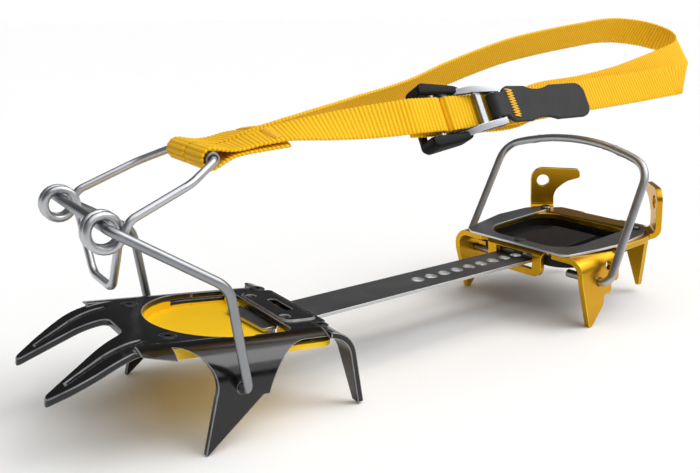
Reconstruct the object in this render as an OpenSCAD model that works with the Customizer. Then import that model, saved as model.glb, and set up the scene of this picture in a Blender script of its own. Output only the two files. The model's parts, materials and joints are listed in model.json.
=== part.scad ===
/* [Layout] */
// Forward distance from the middle of the footprint to the toe datum
datum_x = 95.3; // [60:0.1:140]
// Sideways distance from the middle of the footprint to the toe datum
datum_y = 7.5; // [-10:0.1:30]
// Height of the toe plate's top at the toe datum
toe_z = 33.7; // [30:0.1:45]
// Upward tilt of the toe plate towards its front points
toe_pitch = 5.7; // [2:0.1:10]
// Angle of the link bar to the toe plate, seen from above
bar_yaw = 4.6; // [0:0.1:6]
// Distance from the toe datum back to the heel datum, along the bar
heel_back = 191; // [175:0.5:215]
// Height of the lock spring's top at the heel datum
heel_z = 38.3; // [34:0.1:46]
// Downward tilt of the heel frame towards its front
heel_pitch = 3.5; // [0:0.1:6]

/* [Toe plate] */
// Thickness of the steel sheet
toe_t = 2.5; // [2:0.1:3]
// Side of the plate: distance from the middle to the flange's outer face
flange_y = 42.2; // [40:0.1:46]
// Outer radius of the roll between the plate and its side flange
roll_r = 15; // [13:0.5:15]
// Front end of the flat part, from the datum
flat_front = 48; // [48:0.5:50]
// Bend radius of the front points
point_bend_r = 40; // [36:1:44]
// Bend angle of the front points
point_bend = 32; // [28:1:36]
// Reach of the front points from the datum
point_reach = 86.3; // [82:0.1:90]
// Sideways place of a front point's tip
point_y = 20.4; // [19:0.1:22]
// Bottom of the gap between the front points, from the datum
crotch_x = 56.5; // [54:0.5:60]
// Half width of that gap at its bottom
crotch_half = 8.6; // [7:0.1:9.5]
// Radius of the round opening in the plate
window_r = 29; // [26:0.5:30]
// Centre of the round opening, from the datum
window_x = 15.5; // [13:0.5:17]
// Front edge of the rear strap, behind the datum
strap_front = 2; // [1:0.5:3]
// Rear edge of the plate, behind the datum
plate_rear = 20; // [18:0.5:24]
// Bend radius of the rear points
rear_bend_r = 12; // [10:0.5:14]
// Bend angle of the rear points
rear_bend = 75; // [65:1:82]
// Length of a side point below the plate's top
side_point = 37.5; // [34:0.2:40]
// Place of a side point's tip, from the datum
side_tip_x = 37; // [34:0.5:40]
// Depth of the groove pressed into each front point
groove_deep = 1.1; // [0.6:0.1:1.4]
// Width of a front point's tip
point_tip = 3.6; // [3.2:0.1:4]

/* [Toe rivets and plastic] */
// Place of the front rivets, from the datum
front_rivet_x = 44.3; // [43:0.1:46]
// Half spacing of the front rivets
front_rivet_y = 20; // [17:0.1:20.5]
// Place of the rear rivets, behind the datum
rear_rivet_x = 14.9; // [12:0.1:16]
// Half spacing of the rear rivets
rear_rivet_y = 26.2; // [24:0.1:28]
// Head diameter of a rivet
rivet_head = 7; // [6:0.1:8]
// Shank diameter of a rivet
rivet_d = 4; // [3:0.1:4.6]
// Bore of a hollow rivet
rivet_bore = 2.4; // [1.6:0.1:2.6]
// Thickness of the upper rim of the plastic plate
rim_t = 2; // [1.6:0.1:2.4]
// Thickness of the lower skirt of the plastic plate
skirt_t = 2.2; // [2.1:0.1:3]
// Floor thickness of the plastic plate
floor_t = 1.2; // [1:0.1:1.2]

/* [Link bar] */
// Width of the bar
bar_w = 22; // [20:0.5:23]
// Thickness of the bar
bar_t = 1.5; // [1.2:0.1:2]
// Height of the bar's top
bar_z = 28.7; // [28.4:0.1:29]
// Width of the head that hooks behind the plate's pegs
head_w = 29; // [28:0.5:31]
// Length of that head
head_l = 7; // [5:0.5:8]
// Rise of that head above the bar
head_lift = 1.9; // [1.6:0.1:1.9]
// Distance from the datum back to the bar's rear end
bar_end = 212; // [208:1:222]
// Diameter of the adjustment holes
hole_d = 5.8; // [5.4:0.1:6.4]
// Pitch of the adjustment holes
hole_pitch = 8.4; // [7.5:0.1:9]
// Number of adjustment holes
hole_count = 14; // [8:1:14]
// Distance from the datum back to the first hole
first_hole = 88.5; // [80:0.1:92]

/* [Toe bail and lever] */
// Wire diameter of the toe bail
toe_wire = 3.5; // [3:0.1:4]
// Place of the bail's pivot, from the datum
bail_x = 26.1; // [24:0.1:28]
// Height of the bail's pivot
bail_z = 22.3; // [21:0.1:23]
// Forward place of the bail's crossbar, from the datum
cross_x = 65.9; // [62:0.1:70]
// Height of the bail's crossbar
cross_z = 82.2; // [78:0.1:86]
// Wire diameter of the lever
lever_wire_d = 3; // [2.6:0.1:3.2]
// Gap round the crossbar in a lever eye, on its near side
eye_gap = 0.35; // [0.3:0.05:0.5]
// Inner radius of a lever eye
eye_r = 4.1; // [3.8:0.1:4.4]
// Pitch of the turns in a lever eye
eye_pitch = 3.6; // [3.5:0.1:3.8]
// Half spacing of the eyes, at the middle of each
eye_y = 25.5; // [24:0.1:27]
// Lower end of the lever's hook, below the crossbar
hook_drop = 26.2; // [22:0.1:30]
// Forward place of the strap tube, from the datum
tube_x = 22.5; // [20:0.1:26]
// Height of the strap tube
tube_z = 98.4; // [94:0.1:102]
// Outer diameter of the strap tube
tube_d = 5.4; // [5:0.1:6]
// Length of the strap tube
tube_l = 34; // [33:0.5:38]

/* [Straps and buckle] */
// Width of the webbing
strap_w = 15; // [14:0.5:15.5]
// Thickness of the webbing
strap_t = 1.4; // [1.2:0.1:1.6]
// Lean of the standing webbing from upright
strap_lean = 30; // [26:1:34]
// Length of the buckle
buckle_l = 41; // [40:0.5:43]
// Half height of the buckle cover at its wide end
buckle_half = 14.3; // [13.8:0.1:15.5]
// Diameter of the buckle's round bars
buckle_bar = 3; // [2.6:0.1:3.2]
// Length of the pull tab
tab_l = 58; // [54:0.5:62]
// Thickness of the pull tab
tab_t = 2; // [1.6:0.1:2.2]

/* [Heel] */
// Thickness of the aluminium heel frame
heel_t = 3; // [2.6:0.1:3.2]
// Distance from the middle to a front leg's outer face
leg_y = 42.5; // [41:0.1:45]
// Front of the heel frame, from the heel datum
heel_front = 37; // [36:0.5:38]
// Length of a front leg below the lock spring's top
leg_drop = 36.5; // [34:0.1:38]
// Height of the rear posts above the lock spring's top
post_h = 22; // [20:0.5:24]
// Diameter of the hole in each rear post
post_hole = 6.8; // [5:0.1:7.4]
// Thickness of the lock spring
spring_t = 1.2; // [1:0.1:1.5]
// Diameter of the lock pin
pin_d = 4.8; // [4.4:0.1:5]
// Wire diameter of the heel bail
heel_wire = 4; // [3.5:0.1:4.2]
// Place of the heel bail's pivot, from the heel datum
hbail_x = 23.5; // [22.5:0.1:24.5]
// Depth of the heel bail's pivot below the lock spring's top
hbail_drop = 14.5; // [13.8:0.1:15]
// Length of the heel bail from its pivot to its top corners
hbail_l = 61; // [56:0.5:66]
// Backward lean of the heel bail
hbail_lean = 30.5; // [20:0.5:35]

/* [Fits] */
// Clearance between the round of a wire and its hole
wire_clear = 0.3; // [0.25:0.05:0.4]
// Clearance between a shank and its hole
shank_clear = 0.05; // [0.03:0.01:0.1]
// Gap between faces that slide or lie loosely on each other
loose_gap = 0.3; // [0.25:0.05:0.35]

/* [Hidden] */
$fn = 48;
eps = 0.01;
big = 200;

// Directions and frames

function unit(v) = v / norm(v);

// Turns the x axis to one direction and the y axis to another, square to it
module axes(x, y) {
    z = cross(x, y);
    multmatrix([[x[0], y[0], z[0], 0], [x[1], y[1], z[1], 0], [x[2], y[2], z[2], 0], [0, 0, 0, 1]])
        children();
}

// From the toe datum to the middle of the footprint
module at_origin() {
    translate([datum_x, datum_y, 0]) children();
}

// The toe plate's own frame: x forward, z out of its top
module toe_place() {
    translate([0, 0, toe_z]) rotate([0, -toe_pitch, 0]) children();
}

// The bar's own frame: x forward along the bar, z up
module bar_place() {
    rotate([0, 0, bar_yaw]) children();
}

// The heel frame's own frame: x forward, z out of the lock spring's top
module heel_place() {
    bar_place() translate([-heel_back, 0, heel_z]) rotate([0, heel_pitch, 0]) children();
}

// Draws a part and its mirror image across the middle plane
module both_sides() {
    for (side = [0, 1]) mirror([0, side, 0]) children();
}

// A profile drawn in x and z, as wide as given along y
module across(width) {
    rotate([90, 0, 0]) linear_extrude(width, center = true) children();
}

// A profile drawn in y and z, from one x to another
module along(x0, x1) {
    translate([x0, 0, 0]) rotate([90, 0, 90]) linear_extrude(x1 - x0) children();
}

// A band of a ring, from one angle to another, both within a half turn
module ring_band(r_out, r_in, a0, a1) {
    reach = 2 * r_out;
    mid = (a0 + a1) / 2;
    intersection() {
        difference() {
            circle(r_out);
            circle(r_in);
        }
        polygon([[0, 0], reach * [cos(a0), sin(a0)], reach * [cos(mid), sin(mid)],
                 reach * [cos(a1), sin(a1)]]);
    }
}

// A rectangle with round corners
module round_box(x0, x1, y0, y1, r) {
    translate([x0 + r, y0]) square([x1 - x0 - 2 * r, y1 - y0]);
    translate([x0, y0 + r]) square([x1 - x0, y1 - y0 - 2 * r]);
    for (x = [x0 + r, x1 - r], y = [y0 + r, y1 - r]) translate([x, y]) circle(r);
}

// Routes of wire and webbing

// Straight round rod between two points, with a diameter at each
module rod(a, b, d1, d2) {
    dir = unit(b - a);
    side = unit(cross(dir, [0, 1, 0]));
    translate(a) axes(side, cross(dir, side)) cylinder(d1 = d1, d2 = d2, h = norm(b - a));
}

// Points of a route with its corners rounded
function arc_points(before, corner, after, r, steps) =
    let (dir = unit(corner - before), out = unit(after - corner), turn = acos(dir * out),
         inward = unit(out - dir * (dir * out)), start = corner - dir * r * tan(turn / 2),
         centre = start + inward * r)
    [for (i = [0:steps]) let (a = turn * i / steps) centre - inward * r * cos(a) + dir * r * sin(a)];

function rounded(p, r, steps = 6) = [
    for (i = [0:len(p) - 1])
        each i == 0 || i == len(p) - 1 || r[i] == 0 ? [p[i]]
            : arc_points(p[i - 1], p[i], p[i + 1], r[i], steps)];

// A closed outline with its corners rounded
function round_loop(p, r, steps = 5) = [
    for (i = [0:len(p) - 1]) let (n = len(p))
        each r[i] == 0 ? [p[i]] : arc_points(p[(i + n - 1) % n], p[i], p[(i + 1) % n], r[i], steps)];

// Frames that follow a route without twisting
function route_dir(p, i) = unit(p[min(i + 1, len(p) - 1)] - p[max(i - 1, 0)]);
function square_to(v, dir) = unit(v - dir * (v * dir));
function side_vectors(p, i = 0, last = [0, 0, 1], done = []) =
    i == len(p) ? done :
    let (v = square_to(last, route_dir(p, i))) side_vectors(p, i + 1, v, concat(done, [v]));

// Tube swept along a route
module tube(p, d, sides) {
    n = len(p);
    side = side_vectors(p);
    points = [for (i = [0:n - 1]) let (u = side[i], w = cross(route_dir(p, i), u))
        for (k = [0:sides - 1]) let (a = 360 * k / sides) p[i] + d / 2 * (u * cos(a) + w * sin(a))];
    walls = [for (i = [0:n - 2], k = [0:sides - 1])
        let (a = i * sides + k, b = i * sides + (k + 1) % sides)
        each [[a, b, a + sides], [b, b + sides, a + sides]]];
    last = (n - 1) * sides;
    lids = [for (k = [1:sides - 2]) each [[0, k + 1, k], [last, last + k, last + k + 1]]];
    polyhedron(points, [for (f = concat(walls, lids)) backwards(f)]);
}

function flip_y(p) = [p[0], -p[1], p[2]];
function backwards(list) = [for (i = [len(list) - 1:-1:0]) list[i]];
// A half drawn on the left, joined to its mirror image; the last point lies on the middle plane
function whole(half) = concat(half, [for (i = [len(half) - 2:-1:0]) flip_y(half[i])]);

// Toe plate

toe_flat_half = flange_y - roll_r;
point_arc_x = point_bend_r * sin(point_bend);
point_arc_z = point_bend_r * (1 - cos(point_bend));
rear_flat = plate_rear - 6;
rear_arc_x = rear_bend_r * sin(rear_bend);
rear_arc_z = rear_bend_r * (1 - cos(rear_bend));
// Height of the toe plate's top above the ground, at a place forward of the datum
function toe_top(x) = toe_z + x * sin(toe_pitch);
// Rear points reach the ground
rear_point_l = (toe_top(-rear_flat - rear_arc_x) - rear_arc_z - 1) / sin(rear_bend + toe_pitch);
rear_tip_x = -rear_flat - rear_arc_x - rear_point_l * cos(rear_bend);
// Front end of the lip that the side flange runs out to
lip_front = crotch_x + 2.2;
tongue_half = 23.4;
peg_y = bar_w / 2 + 3.5;
peg_r = 2.2;
peg_x = -6;
press_h = 0.8;
press_half = 20;
bail_local_z = (bail_z - toe_z) * cos(toe_pitch) - bail_x * sin(toe_pitch);
bail_local_x = bail_x * cos(toe_pitch) + (bail_z - toe_z) * sin(toe_pitch);

// The bent sheet seen from the side: rear points, flat, front points
module toe_sheet_profile() {
    translate([-rear_flat - 0.05, -toe_t]) square([rear_flat + flat_front + 0.1, toe_t]);
    translate([flat_front, -point_bend_r])
        ring_band(point_bend_r, point_bend_r - toe_t, 90 - point_bend, 90);
    translate([flat_front + point_arc_x, -point_arc_z]) rotate(-point_bend)
        translate([-0.05, -toe_t]) square([60, toe_t]);
    translate([-rear_flat, -rear_bend_r]) ring_band(rear_bend_r, rear_bend_r - toe_t, 90, 90 + rear_bend);
    translate([-rear_flat - rear_arc_x, -rear_arc_z]) rotate(rear_bend)
        translate([-rear_point_l, -toe_t]) square([rear_point_l + 0.05, toe_t]);
}

// Outline of the sheet seen from above, without its side flanges
module toe_sheet_plan() {
    translate([-rear_flat, -toe_flat_half]) square([rear_flat + flat_front, 2 * toe_flat_half]);
    both_sides() {
        front_point_plan();
        polygon([[-rear_flat, 24], [-plate_rear, 24.5], [rear_tip_x, 34.6],
                 [rear_tip_x, 37], [-plate_rear, 37.2], [-rear_flat, 36.5]]);
    }
}

// Left front point with half of the sheet behind it, and the round of the gap beside it
module front_point_plan() {
    gap_r = 4;
    tip_r = 2.2;
    polygon(round_loop(
        [[flat_front - eps, -eps], [crotch_x, -eps], [crotch_x, crotch_half],
         [point_reach, point_y - point_tip / 2], [point_reach, point_y + point_tip / 2],
         [point_reach - 7.8, point_y + 5.6], [point_reach - 18, point_y + 8.8],
         [flat_front - eps, toe_flat_half]],
        [0, 0, gap_r, tip_r, tip_r, 20, 30, 0]));
}

// Side flange and its roll, seen along the plate
module toe_flange_profile() {
    translate([toe_flat_half - 1, -toe_t]) square([1, toe_t]);
    translate([toe_flat_half, -roll_r]) ring_band(roll_r, roll_r - toe_t, 0, 90);
    translate([flange_y - toe_t, -side_point - 1]) square([toe_t, side_point + 1 - roll_r]);
}

// Outline of the side flange and its point, seen from the side
module toe_flange_side() {
    scallop_x = -4;
    scallop_z = -20;
    scallop_r = 18;
    nose_x = 46.7;
    nose_z = -13;
    nose_r = 12.5;
    edge_drop = 2;
    difference() {
        polygon([[scallop_x, 2], [nose_x, 2], [nose_x, nose_z], [nose_x - nose_r, nose_z],
                 [side_tip_x + 0.5, -side_point], [side_tip_x - 0.5, -side_point], [16.4, -17.8],
                 [13.8, -17.7], [scallop_x, -17.7]]);
        translate([scallop_x, scallop_z]) circle(scallop_r);
        translate([nose_x, nose_z]) circle(nose_r);
    }
    translate([-rear_flat, -edge_drop]) square([rear_flat + scallop_x + eps, 2 * edge_drop]);
    polygon([[nose_x - eps, edge_drop], [lip_front, edge_drop], [lip_front, 0.4 - edge_drop],
             [nose_x - eps, -1.8 * edge_drop]]);
}

// Groove pressed along a front point: one run over the bend, one down the point, narrowing to the tip
module point_groove() {
    root_r = 1.7;
    tip_r = 1.2;
    half_run = 13;
    lead = 11;
    end_gap = 6.5;
    down = function (a) [cos(a), 0, -sin(a)];
    out = function (a) [sin(a), 0, cos(a)];
    on_bend = function (a) [flat_front, point_y, -point_bend_r] + point_bend_r * out(a);
    mid = 0.64 * point_bend;
    over = on_bend(mid) + out(mid) * (root_r - groove_deep);
    rod(over - down(mid) * half_run, over + down(mid) * half_run, 2 * root_r, 2 * root_r);
    start = on_bend(point_bend);
    root = start - down(point_bend) * lead + out(point_bend) * (root_r - groove_deep);
    tip = start + down(point_bend) * (point_reach - flat_front - point_arc_x - end_gap) / cos(point_bend)
        + out(point_bend) * (tip_r - groove_deep / 2);
    rod(root, tip, 2 * root_r, 2 * tip_r);
}

module toe_plate() {
    color("#1d1d1f") toe_place() {
        pressed_toe_plate();
        both_sides() translate([peg_x, peg_y, bar_top_local(peg_x) - bar_t])
            cylinder(r = peg_r, h = bar_t - bar_top_local(peg_x) - toe_t / 2);
    }
}

// The sheet with its pressings, openings and holes
module pressed_toe_plate() {
    difference() {
        union() {
            intersection() {
                across(big) toe_sheet_profile();
                translate([0, 0, -60]) linear_extrude(80) toe_sheet_plan();
            }
            translate([0, 0, -toe_t]) linear_extrude(toe_t)
                round_box(-plate_rear, 0, -tongue_half, tongue_half, 2);
            both_sides() intersection() {
                along(-plate_rear, lip_front) toe_flange_profile();
                across(big) toe_flange_side();
            }
            translate([0, 0, -eps]) linear_extrude(press_h + eps)
                round_box(-17.5, -strap_front - 1.5, -press_half, press_half, 3);
        }
        translate([0, 0, -big / 2]) linear_extrude(big) toe_window();
        translate([0, 0, -toe_t - eps]) linear_extrude(press_h + eps)
            round_box(-16.7, -strap_front - 2.3, -press_half + 0.8, press_half - 0.8, 2.2);
        translate([0, 0, -10]) linear_extrude(20) round_box(-13.5, -10, -8, 8, 1.7);
        both_sides() {
            point_groove();
            translate([peg_x, peg_y, press_h + 1]) sphere(peg_r);
            translate([bail_local_x, flange_y, bail_local_z]) rotate([90, 0, 0])
                cylinder(d = toe_wire + 2 * wire_clear, h = 20, center = true);
        }
        rivet_places() translate([0, 0, -toe_t - 1]) cylinder(d = rivet_d + 2 * shank_clear, h = toe_t + 2);
    }
}

// Opening of the toe plate: round in front, straight at the rear strap
module toe_window(inset = 0) {
    r = window_r - inset;
    rear = inset - strap_front;
    intersection() {
        translate([window_x, 0]) circle(r);
        translate([window_x - 1, -r]) square([r + 1, 2 * r]);
    }
    round_box(rear, window_x, -r + 0.5, r - 0.5, 4);
    translate([window_x - 6, -r + 0.5]) square([6, 2 * r - 1]);
}

// Height of the bar's top in the toe plate's frame
function bar_top_local(x) = (bar_z - toe_z) / cos(toe_pitch) - x * tan(toe_pitch);

// Toe rivets and plastic

module rivet_places() {
    both_sides() {
        translate([front_rivet_x, front_rivet_y, 0]) children();
        translate([-rear_rivet_x, rear_rivet_y, 0]) children();
    }
}

module toe_rivets() {
    head_t = 0.45;
    tail_t = 0.8;
    stack = toe_t + rim_t + skirt_t;
    color("#2a2a2c") toe_place() rivet_places() rotate_extrude() polygon([
        [rivet_bore / 2, head_t], [rivet_head / 2 - 0.7, head_t], [rivet_head / 2, 0], [rivet_d / 2, 0],
        [rivet_d / 2, -stack], [rivet_head / 2, -stack], [rivet_head / 2 - 0.5, -stack - tail_t],
        [rivet_bore / 2, -stack - tail_t]]);
}

module toe_antiball_plate() {
    skirt_half = 33;
    front_half = 27;
    front_x = flat_front - 0.2;
    rear_x = -18.5;
    low = -toe_t - rim_t - skirt_t;
    channel_half = head_w / 2 + 2.5;
    color("#ffd000") toe_place() difference() {
        union() {
            translate([0, 0, -toe_t - rim_t]) linear_extrude(rim_t)
                antiball_outline(rear_x + 5, front_x, toe_flat_half - 0.4, front_half);
            translate([0, 0, low]) linear_extrude(skirt_t)
                antiball_outline(rear_x, front_x - 1, skirt_half, front_half);
        }
        translate([0, 0, low + floor_t]) linear_extrude(20) toe_window(0.6);
        translate([rear_x - 2, -channel_half, low - 1]) cube([2 - rear_x, 2 * channel_half, 20]);
        rivet_places() translate([0, 0, -20]) cylinder(d = rivet_d + 2 * shank_clear, h = 30);
    }
}

// Outline of the plastic plate: wide at the sides, narrowing to the front
module antiball_outline(rear, front, half, front_half) {
    corner = 6;
    round_box(rear, front - 12, -half, half, corner);
    round_box(rear + corner, front, -front_half, front_half, corner);
}

// Link bar

module link_bar() {
    shoulder = peg_x + peg_r + 1.6;
    ramp = shoulder - 4;
    front = shoulder + head_l;
    color("#4d4d4f") bar_place() translate([0, 0, bar_z]) intersection() {
        across(big) polygon([[-bar_end, -bar_t], [ramp, -bar_t], [shoulder, head_lift - bar_t],
                             [front, head_lift - bar_t], [front, head_lift], [shoulder, head_lift],
                             [ramp, 0], [-bar_end, 0]]);
        translate([0, 0, -10]) linear_extrude(20) difference() {
            union() {
                round_box(-bar_end, shoulder + 4, -bar_w / 2, bar_w / 2, 3);
                round_box(shoulder, front, -head_w / 2, head_w / 2, 2);
            }
            for (i = [0:hole_count - 1]) translate([-first_hole - i * hole_pitch, 0]) circle(d = hole_d);
        }
    }
}

// Toe bail

bail_bend_out = flange_y + 0.6 + 4;
toe_bail_half = rounded(
    [[bail_x, flange_y - 8, bail_z], [bail_x, bail_bend_out, bail_z],
     [bail_x + 5.8, bail_bend_out - 0.4, bail_z + 38.7], [cross_x, eye_y + 7.5, cross_z],
     [cross_x, 0, cross_z]],
    [0, 4, 9, 5, 0]);

module toe_bail() {
    color("#a9abad") tube(whole(toe_bail_half), toe_wire, 16);
}

// Lever: one wire with a coiled eye at each side and a hook between them

eye_mean = eye_r + lever_wire_d / 2;
eye_drop = eye_r - toe_wire / 2 - eye_gap;
eye_z = cross_z - eye_drop;
loop_steps = 24;
eye_end = 180 + 2 * 360;
// Elbow of an arm behind its eye, and the place on the eye where the arm runs off it
elbow_back = 7.9;
elbow_rise = 3.3;
eye_start = 180 - atan2(elbow_rise, elbow_back) + acos(eye_mean / norm([elbow_back, elbow_rise]));
eye_steps = 2 * loop_steps;
eye_run = eye_pitch * (eye_end - eye_start) / 360;

// Points of a left eye, from its outer side to its inner side, starting at the rear and turning down
eye_points = [for (i = [0:eye_steps])
    let (a = eye_start + (eye_end - eye_start) * i / eye_steps)
    [cross_x + eye_mean * cos(a), eye_y + eye_run * (0.5 - i / eye_steps), eye_z + eye_mean * sin(a)]];

elbow = [cross_x - elbow_back, eye_points[0][1], eye_z + elbow_rise];
arm_points = rounded(
    [[tube_x, 1.5, tube_z], [tube_x, tube_l / 2 + 1.6, tube_z], [tube_x + 12.5, eye_y + 1, tube_z - 5.6],
     elbow, elbow + 0.8 * (eye_points[0] - elbow)],
    [0, 3.5, 14, 6, 0]);
hook_top = eye_points[eye_steps];
hook_half = 10.5;
hook_points = rounded(
    [hook_top - [0, 0, 2], hook_top - [0.6, 0.6, 6], [cross_x - 6.5, hook_half, cross_z - hook_drop],
     [cross_x - 6.5, 0, cross_z - hook_drop]],
    [0, 8, 7, 0]);
lever_half = concat(arm_points, eye_points, hook_points);
lever_route = whole(lever_half);

// Least gap between turns of an eye, measured on its points
eye_self_gap = min([for (i = [0:len(eye_points) - 1], j = [0:len(eye_points) - 1])
    if (j > i + loop_steps / 2) norm(eye_points[i] - eye_points[j])]) - lever_wire_d;
echo(least_gap_between_eye_turns = eye_self_gap);

module lever_wire() {
    color("#b4b6b8") tube(lever_route, lever_wire_d, 12);
}

module lever_tube() {
    bore = lever_wire_d + 2 * loose_gap;
    color("#8d8f92") translate([tube_x, 0, tube_z]) rotate([90, 0, 0]) difference() {
        cylinder(d = tube_d, h = tube_l, center = true);
        cylinder(d = bore, h = tube_l + 1, center = true);
    }
}

// Straps

buckle_x = -66;
buckle_y = 17.5;
buckle_z = 107;
bar_a = 10.5;
bar_b = 17;
fold_r = buckle_bar / 2 + loose_gap + strap_t / 2;
wrap_r = tube_d / 2 + loose_gap + strap_t / 2;
strap_y = strap_w / 2 + 1;

// The buckle's own frame: x from its wide end to its nose, y across the webbing, z outwards
module buckle_place() {
    translate([buckle_x, buckle_y, buckle_z]) rotate([strap_lean - 90, 0, 0])
        rotate([0, 0, 180]) children();
}

// A point of the buckle's frame, with no offset across the webbing
function buckle_point(s, n) =
    [buckle_x - s, buckle_y + n * cos(strap_lean), buckle_z + n * sin(strap_lean)];
up_edge = [0, -sin(strap_lean), cos(strap_lean)];

// Webbing swept through sections, each a point and the direction of its width
module webbing(sections) {
    n = len(sections);
    p = [for (s = sections) s[0]];
    points = [for (i = [0:n - 1])
        let (dir = route_dir(p, i), u = square_to(sections[i][1], dir), w = cross(dir, u))
        for (c = [[-1, -1], [1, -1], [1, 1], [-1, 1]])
            p[i] + u * c[0] * strap_w / 2 + w * c[1] * strap_t / 2];
    walls = [for (i = [0:n - 2], k = [0:3]) let (a = 4 * i + k, b = 4 * i + (k + 1) % 4)
        each [[a, b, a + 4], [b, b + 4, a + 4]]];
    lids = [[0, 2, 1], [0, 3, 2], [4 * n - 4, 4 * n - 3, 4 * n - 2], [4 * n - 4, 4 * n - 2, 4 * n - 1]];
    polyhedron(points, [for (f = concat(walls, lids)) backwards(f)]);
}

// Sections with others between them, which spread a twist over more faces
function finer(s) = concat(
    [for (i = [0:len(s) - 2], t = [0:0.25:0.75]) s[i] * (1 - t) + s[i + 1] * t], [s[len(s) - 1]]);

// Sections round the strap tube, from below it to above it
function tube_wrap(y) = [for (a = [-115:14:95])
    [[tube_x + wrap_r * cos(a), y, tube_z + wrap_r * sin(a)], [0, 1, 0]]];

// Direction of the width of the short strap, turned from flat
function turned(roll) = [0, cos(roll), -sin(roll)];

// Sections round a bar of the buckle, from one face of the webbing to the other
function bar_wrap(s, from, to, edge) = [for (i = [0:10]) let (a = from + (to - from) * i / 10)
    [buckle_point(s + fold_r * cos(a), fold_r * sin(a)), edge]];

short_route = concat(
    finer([[[-9, 11.1, 102.7], turned(14)], [[2, 9.6, 100.8], turned(6)],
           [[13, strap_y, 98.6], turned(0)]]),
    tube_wrap(strap_y),
    finer([[[13, strap_y, 100.8], turned(0)], [[2, 9.6, 103.1], turned(6)], [[-9, 11.2, 105], turned(14)],
           [[-26, 13.6, 106], turned(32)], [[-44, 16.4, 107], turned(50)], [[-56, 18.6, 107.8], turned(58)],
           [buckle_point(-3, fold_r + 0.4), -up_edge], [buckle_point(5, fold_r), -up_edge]]),
    bar_wrap(bar_a, 90, -90, -up_edge),
    [[buckle_point(4, -fold_r), -up_edge], [buckle_point(-4, -fold_r + 0.8), -up_edge]]);

module short_strap() {
    color("#f9c514") webbing(short_route);
}

// Right-hand side of a route, level, and the lean of the webbing there
function right_of(dir) = unit([dir[1], -dir[0], 0]);
function leaning(dir, lean) = right_of(dir) * sin(lean) + [0, 0, cos(lean)];

// Middle line of the long strap from the tube round the back to the buckle, with its lean
loop_points = [
    [13, -8.6, 100.8, 90], [1, -9.2, 103.2, 84], [-14, -10.4, 105, 72], [-30, -12, 106.4, 60],
    [-56, -16, 109, 46], [-87, -21, 113, 36], [-113, -26, 119, 30], [-137, -29.4, 124.6, 30],
    [-160, -32, 129.4, 30], [-186, -34.6, 133, 30], [-212, -36, 136, 30], [-236, -36, 138.4, 30],
    [-252, -34.4, 138, 30], [-264, -30.6, 136.2, 30], [-271.4, -25, 133.6, 30], [-274, -18.6, 131, 30],
    [-272, -12.4, 128.8, 30], [-265, -6.4, 126.8, 30], [-254, -1.6, 125, 30], [-238, 2, 122.4, 30],
    [-218, 5.6, 119, 30], [-198, 8.6, 115.8, 30], [-170, 11.8, 112.8, 30], [-140, 13.8, 110.8, 30]];
loop_route = [for (q = loop_points) [q[0], q[1], q[2]]];

tail_points = [[-128, 21, 109.6], [-150, 20, 111], [-176, 19.4, 112.2], [-204, 19, 113.8], [-235, 19, 116]];

long_route = concat(
    finer([[[-9, -10, 101.9], [0, 1, 0.24]], [[2, -9.2, 100.7], [0, 1, 0.1]],
           [[13, -strap_y, 98.6], [0, 1, 0]]]),
    tube_wrap(-strap_y),
    finer([for (i = [0:len(loop_points) - 1])
        [loop_route[i], leaning(route_dir(loop_route, i), loop_points[i][3])]]),
    [[buckle_point(52, -fold_r), up_edge], [buckle_point(bar_b + 9, -fold_r), up_edge]],
    bar_wrap(bar_b, 270, 90, up_edge),
    [[buckle_point(bar_b + 6, fold_r), up_edge], [buckle_point(46, fold_r), up_edge]],
    [for (q = tail_points) [q, up_edge]]);

module long_strap() {
    color("#f9c514") webbing(long_route);
}

// Buckle

rail_t = 3;
rail_half = 11.6;
rail_turn = 6.2;
lock_bar_s = buckle_l - 10;
nose_s = buckle_l - 3;
nose_n = 6.4;

// One side rail, thickened all round by a clearance
module buckle_rail(clear) {
    translate([0, rail_half, 0]) rotate([0, 0, -rail_turn]) across(rail_t + 2 * clear)
        polygon([[2 - clear, -1.8 - clear], [21, -1.8 - clear], [25.5, nose_n - 2.6],
                 [buckle_l, nose_n - 2], [buckle_l, nose_n + 2], [lock_bar_s - 3, nose_n + 0.2],
                 [21, 1.8 + clear], [2 - clear, 1.8 + clear]]);
}

module buckle_frame() {
    rail_at = function (s) rail_half - s * tan(rail_turn);
    color("#c4c6c9") buckle_place() {
        both_sides() buckle_rail(0);
        for (q = [[bar_a, 0], [bar_b, 0], [nose_s, nose_n]]) translate([q[0], 0, q[1]]) rotate([90, 0, 0])
            cylinder(d = buckle_bar, h = 2 * rail_at(q[0]), center = true);
        translate([lock_bar_s, 0, fold_r + strap_t / 2 + loose_gap]) across(2 * rail_at(lock_bar_s))
            round_box(-2, 2, 0, 2.4, 1);
    }
}

module buckle_cover() {
    cover_s = 3;
    cover_l = 25;
    half_t = 3;
    end_t = 3.5;
    // The end bar lies under the folded strap
    end_n = -fold_r - strap_t / 2 - loose_gap;
    color("#1b1b1c") buckle_place() difference() {
        union() {
            both_sides() translate([0, 0, end_n]) linear_extrude(half_t - end_n) polygon([
                [cover_s, 9.4], [cover_l, 8.2], [cover_l, 11], [cover_l - 3, 12],
                [cover_s + 2, buckle_half], [cover_s, buckle_half - 2]]);
            translate([cover_s, -buckle_half + 2, end_n - end_t]) cube([end_t, 2 * buckle_half - 4, end_t]);
        }
        both_sides() buckle_rail(shank_clear);
        for (s = [bar_a, bar_b]) translate([s, 0, 0]) rotate([90, 0, 0])
            cylinder(d = buckle_bar + 2 * shank_clear, h = 30, center = true);
    }
}

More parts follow.
